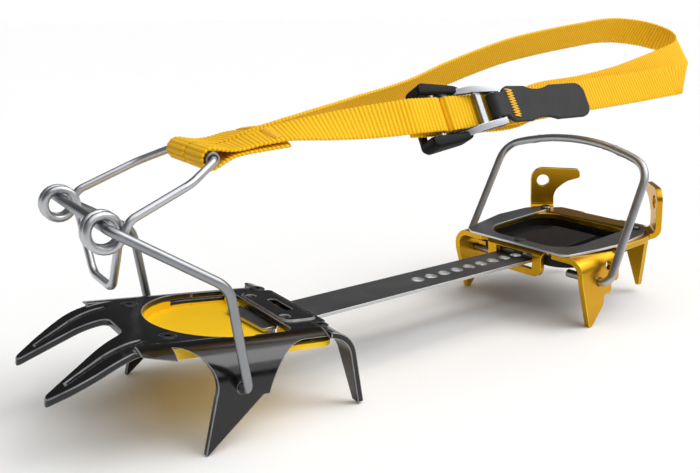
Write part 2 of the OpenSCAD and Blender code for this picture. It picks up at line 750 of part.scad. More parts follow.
module pull_tab() {
    ring = buckle_bar / 2 + shank_clear;
    far = nose_s - 3 + tab_l;
    // Lower face of the tab at the nose bar, and where it lies along the tail
    root_n = nose_n + ring - 0.6;
    flat_n = fold_r + strap_t / 2 + loose_gap + 1.6;
    color("#3a3a3b") buckle_place() difference() {
        intersection() {
            across(40) {
                translate([nose_s, nose_n]) circle(ring + tab_t - 0.6);
                polygon([[nose_s, root_n + tab_t], [nose_s, root_n], [nose_s + 12, flat_n + 1],
                         [nose_s + 22, flat_n], [far + 1, flat_n], [far + 1, flat_n + tab_t],
                         [nose_s + 22, flat_n + tab_t], [nose_s + 12, flat_n + 1 + tab_t]]);
            }
            translate([0, 0, -10]) linear_extrude(40) tab_outline(far);
        }
        translate([nose_s, 0, nose_n]) rotate([90, 0, 0]) cylinder(r = ring, h = 40, center = true);
    }
}

// Outline of the pull tab: narrow root between the rails, wide shoulder, waist and round end
module tab_outline(far) {
    tab_half = 8.1;
    end_r = 5;
    waist_r = 20;
    waist_half = 6.5;
    shoulder = buckle_l + loose_gap;
    root_half = rail_half - buckle_l * tan(rail_turn) - rail_t / 2 / cos(rail_turn) - loose_gap;
    translate([nose_s - 4, -root_half]) square([shoulder - nose_s + 8, 2 * root_half]);
    difference() {
        union() {
            round_box(shoulder, shoulder + 22, -tab_half, tab_half, end_r);
            round_box(shoulder + 10, far, -tab_half, tab_half, end_r);
        }
        both_sides() translate([shoulder + 23, waist_half + waist_r]) circle(waist_r);
    }
}

// Heel frame

frame_top = -spring_t;
frame_low = -spring_t - heel_t;
leg_roll = 8.5;
leg_rear = 8.3;
window_front = heel_front - 5.5;
window_half = leg_y - 12.5;
window_rear = -20.5;
// Middle of the corner edge that a rear post is bent up from, and the bend's inner radius
post_x = -26.5;
post_y = 34.5;
post_half = 6.2;
post_roll = 2.5;
// The bend stands this much proud of the plate, so that no faces just touch
post_step = 0.1;
post_hole_z = 14.2;
rear_edge = -33;
rear_leg_r = 6;
// The front panel that the bar passes through, bent down from the front edge
panel_roll = 4;
panel_front = heel_front + 0.4;
strip_front = panel_front - panel_roll;
stirrup_half = bar_w / 2 + 0.8;
panel_half = stirrup_half + 5.7;
panel_low = -15.6;
panel_sill = 3.6;
rivet_x = -22.9;
rivet_y = 29.5;
pin_x = heel_front - 3.6;
hinge_x = -27.5;

module heel_window() {
    round_box(window_rear, window_front, -window_half, window_half, 14);
}

function mirrored(half) = concat(half, backwards([for (q = half) [q[0], -q[1]]]));

// Outline of the heel plate seen from above
module heel_plan() {
    corner = post_half / sqrt(2) + 0.4;
    side = leg_y - leg_roll;
    lip = leg_y - 1.5;
    polygon(mirrored([
        [strip_front, panel_half + 2], [heel_front - 0.3, panel_half + 6], [heel_front - 0.3, side],
        [leg_rear, side], [leg_rear, lip], [-14, lip], [post_x + corner, post_y + corner],
        [post_x - corner, post_y - corner], [rear_edge, 28]]));
}

// Front leg and the roll above it, seen along the frame
module leg_profile() {
    side = leg_y - leg_roll;
    translate([side - 1, frame_low]) square([1, heel_t]);
    translate([side, frame_top - leg_roll]) ring_band(leg_roll, leg_roll - heel_t, 0, 90);
    translate([leg_y - heel_t, -leg_drop]) square([heel_t, leg_drop + frame_top - leg_roll]);
}

// Front leg seen from the side, with its scalloped rear edge
module leg_side() {
    tip_x = 29.3;
    step = 5.6;
    front = heel_front - 0.3;
    polygon(round_loop(
        [[front, 0], [front, -12], [tip_x + 1, -leg_drop], [tip_x - 0.9, -leg_drop],
         [leg_rear + 2 * step, -27.2], [leg_rear + 2 * step, -22], [leg_rear + step, -22.6],
         [leg_rear + step, -16.8], [leg_rear, -17.4], [leg_rear, 0]],
        [0, 8, 0.5, 0.5, 6, 1.6, 2, 1.6, 2, 0]));
}

// Rear leg seen from the side: bent down from the rear edge
module rear_leg_profile() {
    translate([rear_edge, frame_top - rear_leg_r]) ring_band(rear_leg_r, rear_leg_r - heel_t, 90, 180);
    translate([rear_edge - rear_leg_r, -leg_drop]) square([heel_t, leg_drop + frame_top - rear_leg_r]);
}

// Rear post and the bend at its foot, seen along the corner edge
module post_profile() {
    inner = post_roll - post_step;
    translate([-0.5, frame_low + post_step]) square([0.5, heel_t]);
    translate([0, frame_top + post_roll]) ring_band(inner + heel_t, inner, 270, 360);
    translate([inner, frame_top + post_roll]) square([heel_t, post_h]);
}

// Rear post seen from its flat side, with its hook
module post_outline() {
    difference() {
        polygon(round_loop(
            [[-post_half, -10], [post_half, -10], [post_half, 7.5], [13, 13.2], [21, 15.4], [20.4, 20.2],
             [-post_half - 0.6, post_h], [-post_half - 0.6, 2]],
            [0, 0, 8, 12, 1.6, 2.2, 6.6, 8]));
        translate([0, post_hole_z]) circle(d = post_hole);
    }
}

// Front panel seen from the side: bent down from the front edge
module panel_profile() {
    translate([strip_front - 1, frame_low]) square([1, heel_t]);
    translate([strip_front, frame_top - panel_roll]) ring_band(panel_roll, panel_roll - heel_t, 0, 90);
    translate([panel_front - heel_t, panel_low]) square([heel_t, frame_top - panel_roll - panel_low]);
}

// Front panel seen from the front, with the window for the bar
module panel_outline() {
    difference() {
        polygon(round_loop(
            [[panel_half + 3, 1], [panel_half, -5], [panel_half, panel_low], [-panel_half, panel_low],
             [-panel_half, -5], [-panel_half - 3, 1]],
            [0, 6, 5, 5, 6, 0]));
        translate([-stirrup_half, panel_low + panel_sill])
            square([2 * stirrup_half, frame_low - panel_low - panel_sill]);
    }
}

module heel_frame() {
    color("#d9a520") heel_place() difference() {
        union() {
            translate([0, 0, frame_low]) linear_extrude(heel_t) heel_plan();
            both_sides() {
                intersection() {
                    along(leg_rear - 1, heel_front + 1) leg_profile();
                    across(big) leg_side();
                }
                intersection() {
                    across(big) rear_leg_profile();
                    along(-60, 0) polygon([[12.5, 0], [27.6, 0], [27.6, -9], [24.6, -leg_drop],
                                           [22.6, -leg_drop], [14.1, -13], [12.5, -9]]);
                }
                translate([post_x, post_y, 0]) rotate([0, 0, 225]) intersection() {
                    along(-30, 30) mirror([1, 0]) post_profile();
                    across(big) post_outline();
                }
            }
            intersection() {
                across(big) panel_profile();
                along(0, 60) panel_outline();
            }
        }
        translate([0, 0, frame_low - 1]) linear_extrude(heel_t + 2) heel_window();
        translate([pin_x, 0, frame_low - 1]) cylinder(d = pin_d + 4 * loose_gap, h = heel_t + 2);
        both_sides() {
            for (q = [[hbail_x, -hbail_drop], [hbail_x - 7.3, -hbail_drop + 6.6]])
                translate([q[0], leg_y, q[1]]) rotate([90, 0, 0])
                    cylinder(d = heel_wire + 2 * wire_clear, h = 16, center = true);
            translate([rivet_x, rivet_y, -10]) cylinder(d = rivet_d + 2 * shank_clear, h = 20);
            clip_place() cylinder(d = clip_d + 2 * shank_clear, h = 30, center = true);
        }
    }
}

// Heel plastic

clip_d = 3;
tray_rim = 2;
tray_low = -9.8;
tray_t = 1.5;

// Place of the left clip
module clip_place() {
    translate([-1, leg_y - 7, 0]) children();
}

module heel_antiball_plate() {
    slot_half = bar_w / 2 + 1.5;
    hump_half = slot_half + tray_t;
    hump_top = frame_low - 0.8;
    wall = window_half + 2;
    front = window_front + 1.5;
    color("#2c2c2d") heel_place() difference() {
        union() {
            translate([0, 0, frame_low - tray_rim]) linear_extrude(tray_rim) {
                round_box(-28, front, -wall - 1.4, wall + 1.4, 6);
                round_box(-9, 7, -leg_y + 4, leg_y - 4, 3);
            }
            translate([0, 0, tray_low]) linear_extrude(frame_low - tray_low - eps)
                round_box(window_rear - 2, front, -wall, wall, 15);
        }
        translate([0, 0, tray_low + tray_t]) linear_extrude(20) difference() {
            round_box(window_rear - 0.2, window_front - 0.3, -window_half - 0.2, window_half + 0.2, 13.2);
            round_box(-12, 22, -hump_half, hump_half, 2);
        }
        translate([0, 0, hump_top]) linear_extrude(20) round_box(-13, 23, -hump_half - 1, hump_half + 1, 2);
        translate([-14, -slot_half, tray_low - 1])
            cube([60, 2 * slot_half, hump_top - tray_t - tray_low + 1]);
        translate([pin_x, 0, tray_low - 1]) cylinder(d = pin_d + 4 * loose_gap, h = 20);
        both_sides() {
            clip_place() cylinder(d = clip_d + 2 * shank_clear, h = 40, center = true);
            translate([rivet_x, rivet_y, -20]) cylinder(d = rivet_d + 2 * shank_clear, h = 30);
        }
    }
}

module heel_clips() {
    color("#232324") heel_place() both_sides() clip_place() {
        translate([0, 0, frame_low - tray_rim]) cylinder(d = clip_d, h = heel_t + tray_rim - 0.2);
        translate([0, 0, frame_low - tray_rim - 1]) cylinder(d = 4.4, h = 1);
    }
}

// Lock

module lock_spring() {
    front = heel_front + 1;
    half = leg_y - 1.9;
    boss_r = 3.6;
    color("#55565a") heel_place() translate([0, 0, -spring_t]) linear_extrude(spring_t) difference() {
        intersection() {
            polygon(mirrored([[front, half - 11.6], [front - 2.4, half - 7.2], [25, half - 4.2], [4, half],
                              [-16, half - 2], [hinge_x, half - 7.6]]));
            round_box(hinge_x, front, -half - 0.4, half + 0.4, 6);
        }
        difference() {
            round_box(-60, window_front, -window_half + 2.5, window_half - 2.5, 14);
            translate([pin_x, 0]) circle(boss_r);
        }
        translate([-60, -24.6]) square([44, 49.2]);
        both_sides() translate([rivet_x, rivet_y]) circle(d = rivet_d + 4 * loose_gap);
        translate([pin_x, 0]) circle(d = pin_d - 1.6 + 2 * shank_clear);
    }
}

// Height of the bar's top in the heel frame, at a place forward of the heel datum
function bar_top_heel(x) = (bar_z - heel_z + x * sin(heel_pitch)) / cos(heel_pitch);

module lock_pin() {
    low = bar_top_heel(pin_x) + loose_gap + 0.3;
    color("#6b6c70") heel_place() translate([pin_x, 0, 0]) {
        translate([0, 0, low]) cylinder(d = pin_d, h = -spring_t - low);
        translate([0, 0, -spring_t]) cylinder(d = pin_d - 1.6, h = spring_t);
        cylinder(d = pin_d, h = 0.7);
    }
}

module lock_rivets() {
    lift = 0.6;
    color("#8f9194") heel_place() both_sides() translate([rivet_x, rivet_y, 0]) {
        translate([0, 0, frame_low - tray_rim]) cylinder(d = rivet_d, h = tray_rim - frame_low + lift);
        translate([0, 0, lift]) cylinder(d1 = rivet_head - 0.6, d2 = rivet_head - 2, h = 0.8);
        translate([0, 0, frame_low - tray_rim - 0.8]) cylinder(d = rivet_head - 1, h = 0.8);
    }
}

// Heel bail

hbail_out = leg_y + 0.6 + 4.5;
hbail_arch = 8;
// Half width of the level part of its top
hbail_crown = 18;
// Length of its ends inside the legs
hbail_end = 16;

// A point of the bail's plane, at a distance from its pivot
function hbail_point(l, y) = [hbail_x - l * sin(hbail_lean), y, -hbail_drop + l * cos(hbail_lean)];

module heel_bail() {
    route = [hbail_point(0, leg_y - heel_t - hbail_end), hbail_point(0, hbail_out),
             hbail_point(hbail_l - 1, hbail_out - 1.6), hbail_point(hbail_l + hbail_arch, hbail_crown),
             hbail_point(hbail_l + hbail_arch, 0)];
    color("#b0b2b5") heel_place()
        tube(rounded(whole(route), [0, 4.5, 12, 60, 0, 60, 12, 4.5, 0]), heel_wire, 16);
}

at_origin() toe_plate();
at_origin() toe_rivets();
at_origin() toe_antiball_plate();
at_origin() link_bar();
at_origin() toe_bail();
at_origin() lever_wire();
at_origin() lever_tube();
at_origin() short_strap();
at_origin() long_strap();
at_origin() buckle_frame();
at_origin() buckle_cover();
at_origin() pull_tab();
at_origin() heel_frame();
at_origin() heel_antiball_plate();
at_origin() heel_clips();
at_origin() lock_spring();
at_origin() lock_pin();
at_origin() lock_rivets();
at_origin() heel_bail();
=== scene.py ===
"""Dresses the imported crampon: its finishes, rounded edges, straps and stitching, and the light and camera."""

import json
import math

import bmesh
import bpy
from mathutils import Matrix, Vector
from mathutils.bvhtree import BVHTree


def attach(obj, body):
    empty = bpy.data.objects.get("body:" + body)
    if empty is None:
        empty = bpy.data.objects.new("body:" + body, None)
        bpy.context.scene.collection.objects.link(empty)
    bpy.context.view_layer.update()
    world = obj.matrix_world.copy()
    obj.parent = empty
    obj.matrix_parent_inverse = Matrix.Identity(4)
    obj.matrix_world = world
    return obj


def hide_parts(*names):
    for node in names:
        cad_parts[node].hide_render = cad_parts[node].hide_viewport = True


MM = 0.001
# The point of the floor under the toe plate from which the CAD sizes are measured (mm)
DATUM = Vector((95.3, 7.5, 0.0))
# Direction of the bar, which the heel unit follows
BAR_YAW = math.radians(4.6)

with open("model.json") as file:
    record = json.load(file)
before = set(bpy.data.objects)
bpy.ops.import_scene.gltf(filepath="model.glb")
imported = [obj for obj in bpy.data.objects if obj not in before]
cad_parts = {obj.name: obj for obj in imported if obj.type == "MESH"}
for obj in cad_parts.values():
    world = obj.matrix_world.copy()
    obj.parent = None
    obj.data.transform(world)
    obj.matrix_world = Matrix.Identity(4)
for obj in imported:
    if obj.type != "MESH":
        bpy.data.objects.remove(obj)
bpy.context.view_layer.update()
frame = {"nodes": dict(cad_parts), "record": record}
nodes = frame["nodes"]
body_of_node = {n: b for b, names in frame["record"]["behaviour"]["bodies"].items() for n in names}


# Colours and materials


def linear(hex_colour):
    """An sRGB hex colour as linear RGBA."""
    channels = [int(hex_colour[i:i + 2], 16) / 255 for i in (1, 3, 5)]
    return [c / 12.92 if c <= 0.04045 else ((c + 0.055) / 1.055) ** 2.4 for c in channels] + [1.0]


def add(tree, kind, inputs=None, **settings):
    """Adds a node with its settings. An input is a value, a socket, or a node whose first output feeds it."""
    node = tree.nodes.new(kind)
    for name, value in settings.items():
        setattr(node, name, value)
    for name, value in (inputs or {}).items():
        if isinstance(value, bpy.types.Node):
            value = next(output for output in value.outputs if output.enabled)
        if isinstance(value, bpy.types.NodeSocket):
            tree.links.new(value, node.inputs[name])
        else:
            node.inputs[name].default_value = value
    return node


def new_finish(name):
    """A new material with an empty node tree."""
    material = bpy.data.materials.new(name)
    material.use_nodes = True
    material.node_tree.nodes.clear()
    return material, material.node_tree


def per_metre(size_mm):
    """A texture scale whose features are about this size."""
    return 1 / (size_mm * MM)


def black_enamel():
    """Stoved black enamel on steel sheet: a deep even black with a soft gloss and a faint orange peel, pale
    grey along its edges, partly as rubbed paint and partly as a painted highlight."""
    material, tree = new_finish("black_enamel")
    place = add(tree, "ShaderNodeTexCoord").outputs["Object"]
    rubs = add(tree, "ShaderNodeTexNoise",
               {"Vector": place, "Scale": per_metre(9.0), "Detail": 5.0, "Roughness": 0.6})
    peel = add(tree, "ShaderNodeTexNoise", {"Vector": place, "Scale": per_metre(1.8), "Detail": 2.0})
    edge = add(tree, "ShaderNodeAttribute", attribute_name="edge").outputs["Fac"]
    edge_wear_and_highlight = add(tree, "ShaderNodeMath", {0: edge, 1: rubs}, operation="MULTIPLY")
    face = add(tree, "ShaderNodeMix", {"Factor": rubs, "A": linear("#060607"), "B": linear("#101011")},
               data_type="RGBA")
    # Painted highlight, with rubbed paint: the rounded edges turn pale grey, broken up by the rub noise
    tone = add(tree, "ShaderNodeMix", {"Factor": edge_wear_and_highlight, "A": face, "B": linear("#b4b4b8")}, data_type="RGBA")
    gloss = add(tree, "ShaderNodeMapRange",
                {"Value": rubs, "From Min": 0.35, "From Max": 0.7, "To Min": 0.13, "To Max": 0.22})
    texture = add(tree, "ShaderNodeBump", {"Height": peel, "Distance": 0.03 * MM, "Strength": 0.3})
    shader = add(tree, "ShaderNodeBsdfPrincipled",
                 {"Base Color": tone, "Roughness": gloss, "Specular IOR Level": 0.5, "Normal": texture})
    add(tree, "ShaderNodeOutputMaterial", {"Surface": shader})
    return material


def blackened_rivet():
    """Blackened steel eyelets: duller than the plate, their rims paler, partly as metal showing through and
    partly as a painted highlight.
    """
    material, tree = new_finish("blackened_rivet")
    place = add(tree, "ShaderNodeTexCoord").outputs["Object"]
    patches = add(tree, "ShaderNodeTexNoise", {"Vector": place, "Scale": per_metre(1.2), "Detail": 3.0})
    edge = add(tree, "ShaderNodeAttribute", attribute_name="edge").outputs["Fac"]
    edge_wear_and_highlight = add(tree, "ShaderNodeMath", {0: edge, 1: patches}, operation="MULTIPLY")
    face = add(tree, "ShaderNodeMix", {"Factor": patches, "A": linear("#121214"), "B": linear("#242427")},
               data_type="RGBA")
    # Painted highlight, with metal showing through: the rims turn paler grey
    tone = add(tree, "ShaderNodeMix", {"Factor": edge_wear_and_highlight, "A": face, "B": linear("#6a6a6e")}, data_type="RGBA")
    shader = add(tree, "ShaderNodeBsdfPrincipled", {"Base Color": tone, "Roughness": 0.36, "Metallic": 0.5})
    add(tree, "ShaderNodeOutputMaterial", {"Surface": shader})
    return material


def yellow_polyamide():
    """Moulded yellow polyamide: an even strong colour, a fine grain and a soft gloss."""
    material, tree = new_finish("yellow_polyamide")
    place = add(tree, "ShaderNodeTexCoord").outputs["Object"]
    cloud = add(tree, "ShaderNodeTexNoise", {"Vector": place, "Scale": per_metre(16.0), "Detail": 3.0})
    grit = add(tree, "ShaderNodeTexNoise", {"Vector": place, "Scale": per_metre(0.6), "Detail": 2.0})
    tone = add(tree, "ShaderNodeMix", {"Factor": cloud, "A": linear("#fdc200"), "B": linear("#ffd808")},
               data_type="RGBA")
    texture = add(tree, "ShaderNodeBump", {"Height": grit, "Distance": 0.03 * MM, "Strength": 0.5})
    shader = add(tree, "ShaderNodeBsdfPrincipled", {"Base Color": tone, "Roughness": 0.44, "Normal": texture})
    add(tree, "ShaderNodeOutputMaterial", {"Surface": shader})
    return material


def rolled_strip(name, dark, light, cut_edge_and_highlight, length_axis):
    """Rolled strip steel: dark faces with fine lengthwise brushing, and sheared edges that are brighter, partly
    as bare cut steel and partly as a painted highlight. The brushing is drawn coarser than real so that it
    shows."""
    material, tree = new_finish(name)
    place = add(tree, "ShaderNodeTexCoord").outputs["Object"]
    drawn_out = add(tree, "ShaderNodeMapping",
                    {"Vector": place, "Rotation": (0.0, 0.0, -length_axis), "Scale": (0.03, 1.0, 1.0)})
    brushing = add(tree, "ShaderNodeTexNoise", {"Vector": drawn_out, "Scale": per_metre(0.4), "Detail": 4.0})
    stains = add(tree, "ShaderNodeTexNoise", {"Vector": place, "Scale": per_metre(11.0), "Detail": 4.0})
    edge = add(tree, "ShaderNodeAttribute", attribute_name="edge").outputs["Fac"]
    face = add(tree, "ShaderNodeMix", {"Factor": brushing, "A": linear(dark), "B": linear(light)},
               data_type="RGBA")
    # Painted highlight, with bare cut steel: the sheared and rounded edges take the pale edge tone
    tone = add(tree, "ShaderNodeMix", {"Factor": edge, "A": face, "B": linear(cut_edge_and_highlight)}, data_type="RGBA")
    gloss = add(tree, "ShaderNodeMapRange",
                {"Value": stains, "From Min": 0.3, "From Max": 0.7, "To Min": 0.34, "To Max": 0.46})
    shader = add(tree, "ShaderNodeBsdfPrincipled", {"Base Color": tone, "Roughness": gloss, "Metallic": 1.0})
    add(tree, "ShaderNodeOutputMaterial", {"Surface": shader})
    return material


def drawn_wire(name, dark, light, roughness):
    """Drawn stainless wire: an even satin, with faint dull patches from handling."""
    material, tree = new_finish(name)
    place = add(tree, "ShaderNodeTexCoord").outputs["Object"]
    patches = add(tree, "ShaderNodeTexNoise",
                  {"Vector": place, "Scale": per_metre(8.0), "Detail": 3.0, "Roughness": 0.5})
    tone = add(tree, "ShaderNodeMix", {"Factor": patches, "A": linear(dark), "B": linear(light)},
               data_type="RGBA")
    gloss = add(tree, "ShaderNodeMapRange", {"Value": patches, "From Min": 0.3, "From Max": 0.7,
                                             "To Min": roughness - 0.04, "To Max": roughness + 0.04})
    shader = add(tree, "ShaderNodeBsdfPrincipled", {"Base Color": tone, "Roughness": gloss, "Metallic": 1.0})
    add(tree, "ShaderNodeOutputMaterial", {"Surface": shader})
    return material


def gold_anodising():
    """Gold anodised aluminium plate: warm satin metal with a fine etched grain, paler on its rounded edges,
    partly as wear and partly as a painted highlight.
    """
    material, tree = new_finish("gold_anodising")
    place = add(tree, "ShaderNodeTexCoord").outputs["Object"]
    etching = add(tree, "ShaderNodeTexNoise",
                  {"Vector": place, "Scale": per_metre(0.7), "Detail": 4.0, "Roughness": 0.6})
    cloud = add(tree, "ShaderNodeTexNoise", {"Vector": place, "Scale": per_metre(18.0), "Detail": 3.0})
    edge = add(tree, "ShaderNodeAttribute", attribute_name="edge").outputs["Fac"]
    edge_wear_and_highlight = add(tree, "ShaderNodeMath", {0: edge, 1: cloud}, operation="MULTIPLY")
    face = add(tree, "ShaderNodeMix", {"Factor": cloud, "A": linear("#c68f18"), "B": linear("#d9a625")},
               data_type="RGBA")
    # Painted highlight, with wear: the rounded edges turn pale gold, broken up by the cloud noise
    tone = add(tree, "ShaderNodeMix", {"Factor": edge_wear_and_highlight, "A": face, "B": linear("#ffe04a")}, data_type="RGBA")
    gloss = add(tree, "ShaderNodeMapRange",
                {"Value": etching, "From Min": 0.3, "From Max": 0.7, "To Min": 0.27, "To Max": 0.33})
    texture = add(tree, "ShaderNodeBump", {"Height": etching, "Distance": 0.01 * MM, "Strength": 0.25})
    shader = add(tree, "ShaderNodeBsdfPrincipled",
                 {"Base Color": tone, "Roughness": gloss, "Metallic": 1.0, "Normal": texture})
    add(tree, "ShaderNodeOutputMaterial", {"Surface": shader})
    return material


def black_moulding(name, dark, light, roughness):
    """Moulded black plastic: a fine spark-eroded grain and a dull sheen."""
    material, tree = new_finish(name)
    place = add(tree, "ShaderNodeTexCoord").outputs["Object"]
    cloud = add(tree, "ShaderNodeTexNoise", {"Vector": place, "Scale": per_metre(7.0), "Detail": 3.0})
    grit = add(tree, "ShaderNodeTexNoise", {"Vector": place, "Scale": per_metre(0.5), "Detail": 3.0})
    tone = add(tree, "ShaderNodeMix", {"Factor": cloud, "A": linear(dark), "B": linear(light)},
               data_type="RGBA")
    texture = add(tree, "ShaderNodeBump", {"Height": grit, "Distance": 0.04 * MM, "Strength": 0.5})
    shader = add(tree, "ShaderNodeBsdfPrincipled",
                 {"Base Color": tone, "Roughness": roughness, "Specular IOR Level": 0.12, "Normal": texture})
    add(tree, "ShaderNodeOutputMaterial", {"Surface": shader})
    return material


def cast_aluminium():
    """Cast and tumbled aluminium of the buckle: pale, softly scuffed, brighter on its edges, partly from
    tumbling and partly as a painted highlight.
    """
    material, tree = new_finish("cast_aluminium")
    place = add(tree, "ShaderNodeTexCoord").outputs["Object"]
    scuffs = add(tree, "ShaderNodeTexNoise",
                 {"Vector": place, "Scale": per_metre(1.1), "Detail": 5.0, "Roughness": 0.65})
    edge = add(tree, "ShaderNodeAttribute", attribute_name="edge").outputs["Fac"]
    face = add(tree, "ShaderNodeMix", {"Factor": scuffs, "A": linear("#7c7e81"), "B": linear("#a6a8ab")},
               data_type="RGBA")
    # Painted highlight, with tumbling: the rounded edges turn paler
    tone = add(tree, "ShaderNodeMix", {"Factor": edge, "A": face, "B": linear("#c8cacd")}, data_type="RGBA")
    gloss = add(tree, "ShaderNodeMapRange",
                {"Value": scuffs, "From Min": 0.3, "From Max": 0.7, "To Min": 0.24, "To Max": 0.42})
    texture = add(tree, "ShaderNodeBump", {"Height": scuffs, "Distance": 0.03 * MM, "Strength": 0.4})
    shader = add(tree, "ShaderNodeBsdfPrincipled",
                 {"Base Color": tone, "Roughness": gloss, "Metallic": 1.0, "Normal": texture})
    add(tree, "ShaderNodeOutputMaterial", {"Surface": shader})
    return material


def tab_rubber():
    """Moulded rubber of the pull tab: dark grey and matt, with a fine leathery grain."""
    material, tree = new_finish("tab_rubber")
    place = add(tree, "ShaderNodeTexCoord").outputs["Object"]
    cloud = add(tree, "ShaderNodeTexNoise", {"Vector": place, "Scale": per_metre(6.0), "Detail": 4.0})
    cells = add(tree, "ShaderNodeTexVoronoi", {"Vector": place, "Scale": per_metre(0.8)})
    tone = add(tree, "ShaderNodeMix", {"Factor": cloud, "A": linear("#242425"), "B": linear("#333334")},
               data_type="RGBA")
    texture = add(tree, "ShaderNodeBump", {"Height": cells, "Distance": 0.08 * MM, "Strength": 0.45})
    shader = add(tree, "ShaderNodeBsdfPrincipled",
                 {"Base Color": tone, "Roughness": 0.62, "Specular IOR Level": 0.3, "Normal": texture})
    add(tree, "ShaderNodeOutputMaterial", {"Surface": shader})
    return material


# Distance from one weft rib of the webbing to the next, and from one warp thread to the next
RIB_MM = 1.75
WARP_MM = 0.62


def yellow_webbing():
    """Woven polyamide webbing. Its map runs in millimetres: x across, y along. The mesh carries the weft ribs;
    this shades the gaps between them and the warp threads that cross them, drawn coarser than real yarn."""
    material, tree = new_finish("yellow_webbing")
    weave = add(tree, "ShaderNodeUVMap", uv_map="weave").outputs["UV"]
    split = add(tree, "ShaderNodeSeparateXYZ", {"Vector": weave})
    rib_turns = add(tree, "ShaderNodeMath", {0: split.outputs["Y"], 1: 2 * math.pi / RIB_MM},
                    operation="MULTIPLY")
    rib = add(tree, "ShaderNodeMath", {0: rib_turns}, operation="COSINE")
    warp_turns = add(tree, "ShaderNodeMath", {0: split.outputs["X"], 1: 2 * math.pi / WARP_MM},
                     operation="MULTIPLY")
    warp = add(tree, "ShaderNodeMath", {0: warp_turns}, operation="COSINE")
    threads = add(tree, "ShaderNodeMath", {0: warp, 1: 0.3, 2: rib}, operation="MULTIPLY_ADD")
    fuzz = add(tree, "ShaderNodeTexNoise", {"Vector": weave, "Scale": 1.4, "Detail": 3.0})
    relief = add(tree, "ShaderNodeMath", {0: fuzz, 1: 0.9, 2: threads}, operation="MULTIPLY_ADD")
    lit = add(tree, "ShaderNodeMapRange", {"Value": relief, "From Min": -0.9, "From Max": 0.7})
    tone = add(tree, "ShaderNodeMix", {"Factor": lit, "A": linear("#e2960a"), "B": linear("#fbc70e")},
               data_type="RGBA")
    texture = add(tree, "ShaderNodeBump", {"Height": threads, "Distance": 0.08 * MM, "Strength": 0.6})
    shader = add(tree, "ShaderNodeBsdfPrincipled",
                 {"Base Color": tone, "Roughness": 0.7, "Specular IOR Level": 0.2, "Sheen Weight": 0.05,
                  "Sheen Roughness": 0.4, "Normal": texture})
    add(tree, "ShaderNodeOutputMaterial", {"Surface": shader})
    return material


def sewing_thread():
    """Bonded polyester sewing thread: bright yellow, twisted and slightly glossy."""
    material, tree = new_finish("sewing_thread")
    place = add(tree, "ShaderNodeTexCoord").outputs["Object"]
    twist = add(tree, "ShaderNodeTexNoise", {"Vector": place, "Scale": per_metre(0.4), "Detail": 2.0})
    tone = add(tree, "ShaderNodeMix", {"Factor": twist, "A": linear("#e0a10c"), "B": linear("#ffcf26")},
               data_type="RGBA")
    texture = add(tree, "ShaderNodeBump", {"Height": twist, "Distance": 0.05 * MM, "Strength": 0.6})
    shader = add(tree, "ShaderNodeBsdfPrincipled", {"Base Color": tone, "Roughness": 0.55, "Normal": texture})
    add(tree, "ShaderNodeOutputMaterial", {"Surface": shader})
    return material


FINISH = {
    "toe_plate": black_enamel(),
    "toe_rivets": blackened_rivet(),
    "toe_antiball_plate": yellow_polyamide(),
    "link_bar": rolled_strip("rolled_bar", "#7c7d80", "#919295", "#c2c4c6", BAR_YAW),
    # The toe bail's wire is toned darker than the heel bail's, though both are the same drawn wire: painted
    # shade
    "toe_bail": drawn_wire("toe_bail_wire", "#898b8e", "#9c9ea1", 0.38),
    "lever_wire": drawn_wire("lever_steel", "#b2b4b7", "#c6c8cb", 0.36),
    "lever_tube": drawn_wire("tube_steel", "#8a8c8f", "#a0a2a5", 0.38),
    "heel_frame": gold_anodising(),
    "heel_antiball_plate": black_moulding("tray_plastic", "#1f1f20", "#2c2c2d", 0.5),
    "heel_clips": black_moulding("clip_plastic", "#1a1a1b", "#242425", 0.5),
    "lock_spring": rolled_strip("spring_steel", "#7a7b7e", "#929396", "#d0d2d4", BAR_YAW + math.pi / 2),
    "lock_pin": drawn_wire("pin_steel", "#56575a", "#6e6f72", 0.36),
    "lock_rivets": drawn_wire("rivet_steel", "#6c6e70", "#86888a", 0.34),
    "heel_bail": drawn_wire("heel_bail_wire", "#a4a6a9", "#b8babd", 0.38),
    "buckle_frame": cast_aluminium(),
    "buckle_cover": black_moulding("cover_plastic", "#09090a", "#111112", 0.42),
    "pull_tab": tab_rubber(),
}
WEBBING = yellow_webbing()
THREAD = sewing_thread()


# Sizes and places of the straps and the buckle, as in the CAD (mm, from the datum)

STRAP_W = 15.0
STRAP_T = 1.4
STRAP_LEAN = math.radians(30)
LOOSE = 0.3
# Middle of the strap tube: forwards and up
TUBE = (22.5, 98.4)
TUBE_R = 2.7
WRAP_R = TUBE_R + LOOSE + STRAP_T / 2
STRAP_Y = STRAP_W / 2 + 1
BUCKLE = Vector((-66.0, 17.5, 107.0))
BUCKLE_BAR_R = 1.5
FOLD_R = BUCKLE_BAR_R + LOOSE + STRAP_T / 2
# Places along the buckle: the short strap's bar, the long strap's bar and the covered ends of the rails
BAR_A, BAR_B = 10.5, 17.0
RAIL_END = 5.5
# Directions of the buckle: away from the ankle, and across the webbing
OUTWARDS = Vector((0.0, math.cos(STRAP_LEAN), math.sin(STRAP_LEAN)))
UP_EDGE = Vector((0.0, -math.sin(STRAP_LEAN), math.cos(STRAP_LEAN)))


def buckle_point(s, n, h=0.0):
    """A point of the buckle's frame: along it, outwards and across the webbing."""
    return BUCKLE + Vector((-s, 0.0, 0.0)) + OUTWARDS * n + UP_EDGE * h


# Pieces made from CAD nodes


def put(name, data, body, material):
    """A finished piece at the origin, riding on a body."""
    piece = bpy.data.objects.new(name, data)
    bpy.context.scene.collection.objects.link(piece)
    data.materials.clear()
    data.materials.append(material)
    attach(piece, body)
    return piece


# Flat strips, whose upright faces are sheared edges
STRIPS = ("link_bar", "lock_spring")
MERGE_MM = 0.002
FLAT_ANGLE = math.radians(0.6)
SHARP_ANGLE = math.radians(32)
CREASE_ANGLE = math.radians(50)


